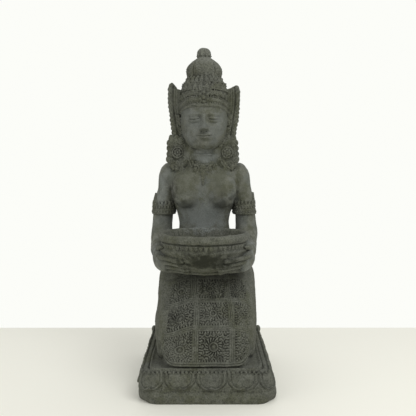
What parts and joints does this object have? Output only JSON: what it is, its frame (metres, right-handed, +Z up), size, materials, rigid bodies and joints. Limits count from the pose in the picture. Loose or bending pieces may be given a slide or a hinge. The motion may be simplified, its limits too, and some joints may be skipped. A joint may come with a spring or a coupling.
{
  "type": "statue",
  "caption": "Kneeling crowned figure holding a round bowl on its lap, cast in dark stone in one piece with a rectangular lotus base; stands by its own weight.",
  "frame": {"origin": "middle of the underside of the base", "axes": "+Z up, -Y the way the figure faces, +X to the viewer's right as they face the figure"},
  "size_m": [0.228, 0.246, 0.6],
  "materials": {
    "stone": "matt, fine-grained, worn and weathered"
  },
  "bodies": {
    "root": {"tara_statue": "stone"}
  },
  "joints": []
}
